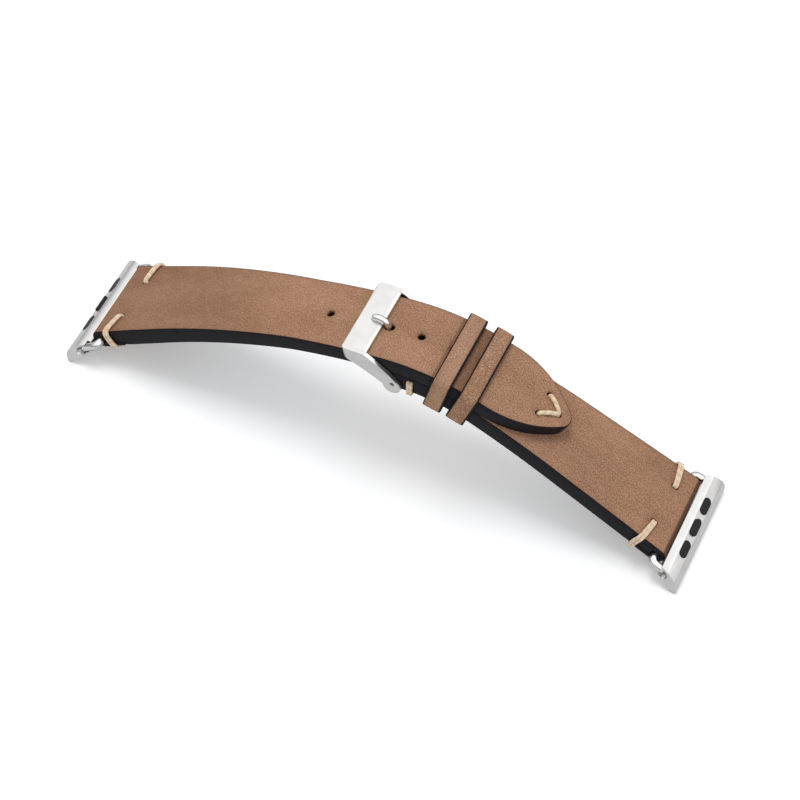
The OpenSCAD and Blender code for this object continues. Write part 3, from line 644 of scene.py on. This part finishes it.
def sides(us, half, end=()):
    """An outline from its two long edges, with the end's points between them."""
    return [(u, -half(u)) for u in us] + list(end) + [(u, half(u)) for u in reversed(us)]


# What both pieces of the strap share
turn_step, fold_step, lining_step, run_step = 0.4, 0.9, 0.75, 1.0
lining_from = 0.95    # how far from a bar's middle the lining starts


def tack_holes(tacks, hole_y, under=None):
    """The tacks' holes. With under, which turns a length into that of the leather below, the lower ones."""
    slack = 0.15 if under else 0.3
    return [ring((under(hole) if under else hole, side * hole_y), (strand + slack) / 2, (0.3, 0), 16)
            for hole, _, side in tacks]


def pressed(s, y, tacks, edge, most=0.16):
    """How far the tacks' thread pulls the leather in at a place on the strap."""
    deep = 0.0
    for hole, over, side in tacks:
        if y * side < 0:
            continue
        k = min(1.15, max(0.0, (abs(y) - tack_hole) / (edge(hole) - tack_hole)))
        middle = hole + (over - hole) * k
        reach = 1.0 if abs(y) > tack_hole else math.exp(-((tack_hole - abs(y)) / 0.8) ** 2)
        deep += most * reach * math.exp(-((s - middle) / 1.25) ** 2)
    return deep


def turned_under(u, y, depth, end, way, nose, level, under):
    """Leather past the bar at end: round it, then back below. Way is 1 to the right and -1 to the left."""
    turn = math.pi * nose
    if u * way < end * way + turn:
        a = slope(end) - way * math.degrees((u - end) * way / nose)
        return bent(on(end, level + nose) + (nose - min(depth, outer_leather - 0.01)) * out(a), y)
    d = (u - end) * way - turn
    s = end - way * d
    low, top = fold_under(d, 2 * nose, under(s)), fold_top(d, 2 * nose, under(s))
    return bent(on(s, level + low - (low - top) * depth / outer_leather), y)


def lining(name, outline, holes, rows, level, under):
    """A piece's lining, between its outer leather and the underside that under(u) gives."""
    top = outer_leather + 0.01

    def place(u, y, share, extra):
        return bent(on(u, level + top + share * (under(u) - top) + extra), y)

    made, marks = cut_sheet(outline, holes, rows, place, LINING_EDGE, LINING_HOLE)
    piece(name + "_lining", made, LINING, "strap", name + "_strap_lining", marks)


# The long piece
tail_lean = tail_curve - half_buckle - 0.03
tip_at = tail_length - tip_radius
tail_from = tip_at - math.sqrt((tail_curve - tip_radius) ** 2 - tail_lean ** 2)
tail_angle = math.degrees(math.acos((tip_at - tail_from) / (tail_curve - tip_radius)))
hole_count, own_hole, hidden_hole = 6, 2, 4    # the prong's own, and the one beside the fixed keeper
hidden_radius, tail_hole_radius = 0.55, 0.66


def tail_points():
    """The tail's curve from its straight edge to the tip, and back along the other side."""
    arc = [(tail_from + tail_curve * math.cos(a * RAD), -tail_lean + tail_curve * math.sin(a * RAD))
           for a in spread(88, tail_angle, 2.4)]
    tip = [(tip_at + tip_radius * math.cos(a * RAD), tip_radius * math.sin(a * RAD))
           for a in spread(tail_angle, -tail_angle, 11)[1:-1]]
    return [(u, -y) for u, y in arc] + tip[::-1] + arc[::-1]


def buckle_holes(closed=0.09, own_closed=0.045):
    """The leather closes a little round its punched holes; the lining is wider where the prong passes."""
    seen = hole_diameter / 2 - closed
    loops = [ring((first_hole + i * hole_pitch, 0.0), hidden_radius if i == hidden_hole else seen)
             for i in range(hole_count) if i != own_hole]
    own = (first_hole + own_hole * hole_pitch - hole_stretch / 2, 0.0)
    return loops + [ring(own, hole_diameter / 2 - own_closed, (hole_stretch / 2, 0))]


def long_skin(u, y, share, extra):
    depth = share * outer_leather + extra
    if u < long_bow_s:
        return turned_under(u, y, depth, long_bow_s, -1, bow_nose, 0.0, long_under)
    return bent(on(u, depth + (1 - share) * pressed(u, y, long_tack_at, long_edge)), y)


def long_lining_under(u):
    if u < long_bow_s + fold:
        return fold_top(u - long_bow_s, 2 * bow_nose, long_under(u))
    return long_under(u)


def long_piece():
    """The long leather, from its turned-under end to the tail's tip, and the lining under it."""
    turn_end = long_bow_s - math.pi * bow_nose

    def half(u):
        if u < tail_from:
            return long_edge(max(u, long_bow_s))
        return max(0.0, -tail_lean + math.sqrt(max(0.0, tail_curve ** 2 - (u - tail_from) ** 2)))

    def below(s):
        return long_bow_s + turn_end - s

    tail_start, tail_rows = tail_from - 0.4, spread(tail_from, tip_at, run_step)
    us = stations(turn_end - fold, (turn_end, fold_step), (long_bow_s, turn_step), (tail_start, run_step))
    holes = buckle_holes() + tack_holes(long_tack_at, tack_hole) + tack_holes(long_tack_at, tack_hole, below)
    holes += [ring(p, tail_hole_radius, count=14) for p in tail_stitch_at]
    made, marks = cut_sheet(sides(us, half, tail_points()), holes, grid_rows(us + tail_rows, half), long_skin,
                            OUTER_EDGE, PUNCHED)
    piece("long_leather", made, LONG_LEATHER, "strap", "long_strap_leather", marks)

    us = stations(long_bow_s + lining_from, (long_bow_s + fold, lining_step), (tail_start, run_step))
    lining("long", sides(us, half, tail_points()), buckle_holes(0.0, -0.28), grid_rows(us + tail_rows, half),
           0.0, long_lining_under)


# The short piece
def short_skin(u, y, share, extra):
    depth = share * outer_leather + extra
    if u < pin_s:
        return turned_under(u, y, depth, pin_s, -1, pin_nose, short_top, short_under)
    if u > short_bow_s:
        return turned_under(u, y, depth, short_bow_s, 1, bow_nose, short_top, short_under)
    return bent(on(u, short_top + depth + (1 - share) * pressed(u, y, short_tack_at, short_edge)), y)


def short_lining_under(u):
    if u < pin_s + fold:
        return fold_top(u - pin_s, 2 * pin_nose, short_thickness)
    if u > short_bow_s - fold:
        return fold_top(short_bow_s - u, 2 * bow_nose, short_thickness)
    return short_thickness


def prong_slot(low, high, half=1.35):
    """The slot that leaves room for the prong's barrel in the fold."""
    across = (half, half / 3, -half / 3)
    loop = [(low, y) for y in across] + [(u, -half) for u in spread(low, high, 0.8)[:-1]]
    loop += [(high, -y) for y in across] + [(u, half) for u in spread(high, low, 0.8)[:-1]]
    return loop[::-1]


def short_piece():
    """The short leather, turned under at both ends, and the lining under it."""
    pin_end, bow_end_s = pin_s - math.pi * pin_nose, short_bow_s + math.pi * bow_nose

    def half(u):
        return short_edge(min(short_bow_s, max(pin_s, u)))

    def below_pin(s):
        return pin_s + pin_end - s

    def below_bow(s):
        return short_bow_s + bow_end_s - s

    slot_end = pin_s + 1.9
    us = stations(pin_end - fold, (pin_end, fold_step), (pin_s, turn_step), (short_bow_s, run_step),
                  (bow_end_s, turn_step), (bow_end_s + fold, fold_step))
    holes = [prong_slot(below_pin(slot_end), slot_end)]
    for tacks, hole_y, below in ((short_tack_at, tack_hole, below_bow),
                                 (buckle_tack_at, buckle_tack_hole, below_pin)):
        holes += tack_holes(tacks, hole_y) + tack_holes(tacks, hole_y, below)
    made, marks = cut_sheet(sides(us, half), holes, grid_rows(us, half), short_skin, OUTER_EDGE, PUNCHED)
    for i, (u, y) in enumerate(made[2]):
        if pin_s - 2 < u < 17.5 and abs(y) > half_buckle - 1.0:    # black where the tail lies over it
            marks["paint"][i] = 1.0
    piece("short_leather", made, SHORT_LEATHER, "strap", "short_strap_leather", marks)

    first = pin_s + lining_from
    us = stations(first, (slot_end, run_step), (pin_s + fold, lining_step), (short_bow_s - fold, run_step),
                  (short_bow_s - lining_from, lining_step))
    notch_end, notch_half = first + 1.0, 1.4
    notch = [(first, notch_half), (notch_end, notch_half), (notch_end, -notch_half), (first, -notch_half)]
    lining("short", sides(us, half) + notch, [], grid_rows(us, half), short_top, short_lining_under)


# Keepers
def rounded_box(w, low, high, r, per_corner=7, per_side=(6, 5)):
    """Points round a rounded rectangle in (y, up), from the right end of its underside."""
    corners = [((w - r, low + r), -90), ((w - r, high - r), 0),
               ((r - w, high - r), 90), ((r - w, low + r), 180)]

    def spot(centre, a):
        return centre[0] + r * math.cos(a * RAD), centre[1] + r * math.sin(a * RAD)

    loop = []
    for i, (centre, a0) in enumerate(corners):
        loop += [spot(centre, a0 + 90 * k / per_corner) for k in range(per_corner + 1)]
        (y0, up0), (y1, up1), n = loop[-1], spot(*corners[(i + 1) % 4]), per_side[i % 2]
        loop += [(y0 + (y1 - y0) * k / n, up0 + (up1 - up0) * k / n) for k in range(1, n)]
    return np.array(loop)


def keeper(name, s, lean, body, node, leather):
    """A leather loop round both pieces, its outer edges rounded and its middle a little raised."""
    depth, w = short_top + short_thickness, half_buckle + keeper_gap
    under, top = -depth - keeper_gap, keeper_gap
    outer_corner, inner_corner, raised = 1.2, 0.15, 0.05
    outer = rounded_box(w + keeper_leather, under - keeper_leather, top + keeper_leather, outer_corner)
    inner = rounded_box(w, under, top, inner_corner)
    r, half, t = 0.26, keeper_length / 2, keeper_leather
    shoulder = [(half - r + r * math.cos(a * RAD), 1 - r / t + r / t * math.sin(a * RAD), paint)
                for a, paint in ((0, 1), (25, 1), (50, 1), (72, 1), (90, 0.6))]
    crown = [(half * k, 1 + raised * (1 - k * k) / t, 0.0) for k in (0.5, 0.0, -0.5)]
    far = [(-x, f, paint if paint > 0.9 else 0.42) for x, f, paint in reversed(shoulder)]
    section = shoulder + crown + far + [(-half, 0.0, 1), (half, 0.0, 1)]
    centre, a = on(s, depth / 2), slope(s) - lean
    points, skin, marks = [], [], dict(paint=[], rim=[])
    run = 0.0
    for i in range(len(outer)):
        run += float(np.hypot(*(outer[i] - outer[i - 1]))) if i else 0.0
        for x, f, paint in section:
            y, up = inner[i] + f * (outer[i] - inner[i])
            points.append(bent(centre + x * along(a) + (up + depth / 2) * out(a), y))
            skin.append((run, x + 60 + s))
            marks["paint"].append(paint)
            marks["rim"].append(1.0 if abs(x) > half - 0.3 else 0.0)
    made = points, loft(len(outer), len(section)), skin
    piece(name, made, leather, body, node, marks, 60)


# Thread, wire and prong
def smooth_line(points, radius, step=0.14):
    """A line through the points, its corners rounded, in steps of about the given length."""
    points = [np.asarray(p, float) for p in points]
    line = [points[0]]
    for a, b, c in zip(points, points[1:], points[2:]):
        cut = min(radius, 0.49 * np.linalg.norm(a - b), 0.49 * np.linalg.norm(c - b))
        p, q = b + (a - b) / np.linalg.norm(a - b) * cut, b + (c - b) / np.linalg.norm(c - b) * cut
        line += [(1 - t) ** 2 * p + 2 * t * (1 - t) * b + t * t * q for t in np.linspace(0, 1, 9)]
    line.append(points[-1])
    line = np.array(line)
    length = np.concatenate([[0], np.cumsum(np.linalg.norm(np.diff(line, axis=0), axis=1))])
    places = np.linspace(0, length[-1], max(4, int(length[-1] / step)))
    return np.stack([np.interp(places, length, line[:, k]) for k in range(3)], 1), places


def tube(line, places, radius, around, plies=0, lay=1.0, ends=True):
    """A round or twisted cross-section carried along a line. Returns points, faces and skin places."""
    tangents = np.gradient(line, axis=0)
    tangents /= np.linalg.norm(tangents, axis=1)[:, None]
    guess = np.array([0.0, 1.0, 0.0]) if abs(tangents[0][1]) < 0.9 else np.array([1.0, 0.0, 0.0])
    normal = guess - tangents[0] * np.dot(guess, tangents[0])
    points, skin = [], []
    for p, t, run in zip(line, tangents, places):
        normal = normal - t * np.dot(normal, t)
        normal /= np.linalg.norm(normal)
        other = np.cross(t, normal)
        r, left = radius, min(run, places[-1] - run)
        if ends and left < r:
            r *= math.sqrt(max(0.02, 1 - (1 - left / r) ** 2))
        for k in range(around):
            a, size = 2 * math.pi * k / around, r
            if plies:
                size *= 0.84 + 0.16 * abs(math.cos(plies * (a + 2 * math.pi * run / lay) / 2))
            points.append(p + size * (math.cos(a) * normal + math.sin(a) * other))
            skin.append((run, k / around))
    faces = loft(len(line), around, closed=False)
    faces += [tuple(range(around))[::-1], tuple(range(len(points) - around, len(points)))]
    return points, faces, skin


def joined(parts):
    """Several parts' points, faces and skin places as one."""
    points, faces, skin = [], [], []
    for p, f, s in parts:
        faces += [tuple(i + len(points) for i in face) for face in f]
        points += list(p)
        skin += list(s)
    return points, faces, skin


def stitch(name, lines, corner, width, node, dark):
    """Waxed thread along the lines, three plies each, with painted shade where it goes into the leather."""
    parts, hole_shade = [], []
    for line in lines:
        path, places = smooth_line(line, corner)
        parts.append(tube(path, places, width / 2, 14, plies=3, lay=1.7))
        hole_shade += [max(0.0, 1 - min(u, places[-1] - u) / 0.9) ** 1.5 * dark for u, _ in parts[-1][2]]
    piece(name, joined(parts), THREAD, "strap", node, dict(hole_shade=hole_shade), 80)


def tack(name, t, top, under, edge_y, node, at_hole=0.24, at_edge=0.34):
    """Two strands from their hole over the leather's edge and back to it underneath, each so far
    to one side of the tack's middle at the hole and at the edge."""
    lift, side, lines = strand / 2 - 0.06, t[2], []
    for k in (-1, 1):
        h, e = t[0] + k * at_hole, t[1] + k * at_edge
        y0, y1 = side * tack_hole, side * (edge_y + lift)
        lines.append([at(h, y0, -top - 1.1), at(h, y0, -top + lift * 0.6),
                      at((h + e) / 2, (y0 + y1) / 2, -top + lift + 0.12),
                      at(e, y1 + side * 0.14, -top + lift + 0.1),
                      at(e - (h - e) * 0.2, y1 + side * 0.2, -(top + under(e)) / 2),
                      at(e + (h - e) * 0.12, y1 + side * 0.08, -under(e) - lift),
                      at(h, y0, -under(h) - lift), at(h, y0, -under(h) + 0.7)])
    stitch(name, lines, 1.15, strand, node, 1.0)


def buckle_tack(name, t, low, node, apart=0.36):
    """Two strands round the edge of the fold at the buckle."""
    s0, _, side = t
    out_y, hole_y = side * (half_buckle + strand / 2 - 0.04), side * buckle_tack_hole
    lines = []
    for s in (s0 - apart, s0 + apart):
        below = -low(s) - strand / 2
        lines.append([at(s, out_y - side * 0.3, -short_top - 0.42), at(s, out_y, -short_top - 0.75),
                      at(s, out_y, below), at(s, hole_y, below), at(s, hole_y, -low(s) + 0.8)])
    stitch(name, lines, 0.5, strand, node, 0.8)


def tail_stitch():
    """The V of thick thread, two legs from the hole at the tip."""
    (s0, y0), lines = tail_stitch_at[0], []
    for s, y in tail_stitch_at[1:]:
        side, leg = math.copysign(1, y), math.hypot(s0 - s, y0 - y)
        back, in_y = (s0 - s) / leg * 0.26, (y0 - y) / leg * 0.26
        lines.append([at(s0 - 0.1, y0 + side * 0.12, -1.2), at(s0 - 0.16, y0 + side * 0.2, 0.2),
                      at((s0 + s) / 2, (y0 + y) / 2, tail_strand / 2 + 0.02),
                      at(s + back, y + in_y, 0.2), at(s + back * 0.8, y + in_y * 0.8, -1.2)])
    stitch("tail_v_thread", lines, 0.6, tail_strand, "tail_stitch", 1.0)


def threads():
    """All the stitches, each against the underside of the fold that it closes."""
    def long_low(s):
        return fold_under(s - long_bow_s, 2 * bow_nose, long_under(s))

    def short_low(s):
        return short_top + fold_under(short_bow_s - s, 2 * bow_nose, short_thickness)

    def pin_low(s):
        return short_top + fold_under(s - pin_s, 2 * pin_nose, short_thickness)

    for end, tacks, top, low, edge in (("long", long_tack_at, 0.0, long_low, long_edge),
                                       ("short", short_tack_at, short_top, short_low, short_edge)):
        for t, side in zip(tacks, ("near", "far")):
            tack(f"{end}_thread_{side}", t, top, low, edge(t[1]), f"{end}_tack_{side}")
    for t, side in zip(buckle_tack_at, ("near", "far")):
        buckle_tack("buckle_thread_" + side, t, pin_low, "buckle_tack_" + side)
    tail_stitch()


# The frame and the adapters keep their CAD shape
def softened(name, width, body, angle=24, segments=2):
    """A node's own shape in satin steel, its sharp edges broken by a small round."""
    mesh = NODES[name].data.copy()
    mesh.name = name + "_finished"
    shape = bmesh.new()
    shape.from_mesh(mesh)
    bmesh.ops.remove_doubles(shape, verts=shape.verts, dist=2e-6)
    bmesh.ops.dissolve_limit(shape, angle_limit=math.radians(0.6), verts=shape.verts, edges=shape.edges)
    sharp = [e for e in shape.edges if len(e.link_faces) == 2 and e.calc_face_angle(0) > math.radians(angle)]
    bmesh.ops.bevel(shape, geom=sharp, offset=width * MM, offset_type="OFFSET", segments=segments,
                    profile=0.5, affect="EDGES", clamp_overlap=True)
    shape.to_mesh(mesh)
    shape.free()
    obj = seated(name + "_finished", mesh, SATIN, body, name, 32)
    even = obj.modifiers.new("even_shading", "WEIGHTED_NORMAL")
    even.keep_sharp = True
    even.weight = 100


def metal_and_pads():
    """The frame and the adapters with broken edges, and finishes for the metal and pads kept as they are."""
    softened("buckle_frame", 0.19, "buckle")
    softened("long_adapter", 0.09, "long_end")
    softened("short_adapter", 0.09, "short_end")
    # the spring bars' tips get darkened steel: painted shade for their holes
    kept = {"_pad_": RUBBER, "_catch": RUBBER, "spring_bar_tip_": PIN_END_SHADE, "spring_bar_tube": BRIGHT}
    for name, obj in NODES.items():
        for part, material in kept.items():
            if part in name:
                obj.data.materials.clear()
                obj.data.materials.append(material)


def bow(name, axis, side, reach, body):
    """The wire bow, drawn smooth: bar, two elbows, two arms and the pegs at their ends."""
    toe_x = math.sqrt((adapter_dome - toe_radius) ** 2 - (dome_drop + flat_side + toe_radius) ** 2)
    toe, rise = reach + toe_x, flat_side + toe_radius
    lean = math.asin((axis[1] - toe_radius) / math.hypot(toe, rise)) + math.atan(rise / toe)

    def place(x, y, z):
        x -= reach
        return bent((axis[0] - side * (x * math.cos(lean) - z * math.sin(lean)),
                     axis[1] + x * math.sin(lean) + z * math.cos(lean)), y)

    def end(y):
        return place(bow_end[0], y, bow_end[1])

    corners = [end(-bow_arm_y), place(reach, -bow_arm_y, 0.0), place(reach, bow_arm_y, 0.0), end(bow_arm_y)]
    parts = [tube(*smooth_line(corners, 1.5, 0.2), bow_wire / 2, 24)]
    for k in (-1, 1):
        peg = smooth_line([end(k * bow_arm_y), end(k * (bow_arm_y - peg_length))], 0.1, 0.4)
        parts.append(tube(*peg, peg_radius, 16, ends=False))
    piece(name + "_wire", joined(parts), BRIGHT, body, name)


def turned(centre, profile, around=40):
    """A ring turned about an axis across the strap, from its (radius, y) profile."""
    points = [bent((centre[0] + r * math.cos(2 * math.pi * k / around),
                    centre[1] + r * math.sin(2 * math.pi * k / around)), y)
              for k in range(around) for r, y in profile]
    return points, loft(around, len(profile)), [(p[1], p[0]) for p in points]


def prong():
    """The prong's rod bent up through its hole and back over the bar, on its barrel."""
    a, origin = slope(bar_s), on(bar_s)
    pin = on(pin_s, short_top + pin_nose)
    start = np.array([(pin - origin) @ along(a), (pin - origin) @ out(a)])
    crossing, tip = np.array(prong_crossing), np.array(prong_tip)
    first = (crossing - start) / np.linalg.norm(crossing - start)
    lean = math.degrees(math.atan2(first[1], first[0]))
    up, over = along(prong_rise), along(prong_over)
    gap = tip - crossing
    corner = crossing + (gap[0] * over[1] - gap[1] * over[0]) / (up[0] * over[1] - up[1] * over[0]) * up

    def bend(corner, way, angle, turn, r, n=14):
        """The rod's bend by a turn at a corner, which it comes to by way at angle."""
        p, side = corner - r * math.tan(abs(turn) / 2 * RAD) * way, 1 if turn > 0 else -1
        return [p + side * r * (out(angle) - out(angle + turn * i / n)) for i in range(n + 1)]

    flat = [start + 1.3 * first]
    flat += bend(crossing, first, lean, prong_rise - lean, prong_bends[0])
    flat += bend(corner, up, prong_rise, prong_over - prong_rise, prong_bends[1])
    flat.append(tip + prong_diameter / 2 * over)
    rod = [bent(origin + p[0] * along(a) + p[1] * out(a), 0.0) for p in flat]
    r, half, broken = barrel_radius, barrel_half, 0.1
    barrel = [(r - broken, -half), (r, broken - half), (r, half - broken), (r - broken, half),
              (pin_bore, half), (pin_bore, -half)]
    parts = [tube(*smooth_line(rod, 0.01, 0.12), prong_diameter / 2, 24), turned(pin, barrel)]
    piece("prong_rod", joined(parts), BRIGHT, "prong", "buckle_prong")


# Room and light
WHITE, BLACK = (1.0, 1.0, 1.0), (0.0, 0.0, 0.0)


def room():
    """A soft even fill, a white background, and brighter walls that only the metal mirrors."""
    world = bpy.data.worlds.new("studio")
    bpy.context.scene.world = world
    r = Shading(world)

    def light(colour, strength):
        return r.tone("ShaderNodeBackground", None, {"Color": colour, "Strength": strength})

    way = r.tone("ShaderNodeTexCoord", output="Generated")
    right, up = r.axis(way, 0), r.axis(way, 2)
    walls = up.rise(0.0, 0.82, 0.20, 1.16)
    screen = right.rise(0.40, 0.58, 0.0, 0.52) * up.rise(0.04, 0.34) * up.rise(0.78, 0.90, 1.0, 0.0)
    fill, mirrored, seen = light((0.972, 0.987, 1.0), 0.755), light(WHITE, walls + screen), light(WHITE, 1.0)
    lit = r.either(r.tone("ShaderNodeLightPath", output="Is Glossy Ray"), fill, mirrored)
    whole = r.either(r.tone("ShaderNodeLightPath", output="Is Camera Ray"), lit, seen)
    r.node("ShaderNodeOutputWorld", None, {"Surface": whole})


def studio_floor(half=4.0, below=0.00002):
    """A pale floor that takes the shadow, a little brighter to the camera and darker in the metal."""
    f = Finish("studio_floor", Roughness=0.9, Specular_IOR_Level=0.0)
    mirrored = f.tone("ShaderNodeLightPath", output="Is Glossy Ray")
    f.wear(Base_Color=f.blend(mirrored, (0.86, 0.86, 0.865), (0.62, 0.62, 0.625)))
    dark, glow = (f.tone("ShaderNodeEmission", None, {"Color": colour, "Strength": strength})
                  for colour, strength in ((BLACK, 0.0), (WHITE, 0.215)))
    pick = f.either(f.tone("ShaderNodeLightPath", output="Is Camera Ray"), dark, glow)
    f.set(f.out.inputs["Surface"], f.tone("ShaderNodeAddShader", None, {0: f.surface, 1: pick}))
    mesh = bpy.data.meshes.new("floor")
    mesh.from_pydata([(x * half, y * half, -below) for x, y in ((-1, -1), (1, -1), (1, 1), (-1, 1))],
                     [], [(0, 1, 2, 3)])
    mesh.materials.append(f.material)
    obj = bpy.data.objects.new("floor", mesh)
    bpy.context.scene.collection.objects.link(obj)


def overhead_lamp(spot=(-0.040, 0.046, 0.62), aim=(0.0, 0.0, 0.01), size=0.27, watts=1.46):
    """One soft round lamp over the strap, which the metal doesn't mirror."""
    data = bpy.data.lights.new("overhead", "AREA")
    data.shape, data.size, data.energy = "DISK", size, watts
    light = bpy.data.objects.new("overhead", data)
    light.location = spot
    light.rotation_euler = (Vector(aim) - Vector(spot)).to_track_quat("-Z", "Y").to_euler()
    light.visible_glossy = False
    bpy.context.scene.collection.objects.link(light)


long_piece()
short_piece()
keeper("fixed_keeper_band", fixed_keeper_at, fixed_keeper_lean, "strap", "fixed_keeper", KEEPER_LEATHER)
keeper("free_keeper_band", free_keeper_at, 0.0, "keeper", "free_keeper", CREASED_LEATHER)
threads()
metal_and_pads()
bow("long_bow", on(long_bow_s, bow_nose), -1, long_reach, "long_end")
bow("short_bow", on(short_bow_s, short_top + bow_nose), 1, short_reach, "short_end")
prong()
bpy.context.scene.view_settings.view_transform = "Standard"
room()
studio_floor()
overhead_lamp()
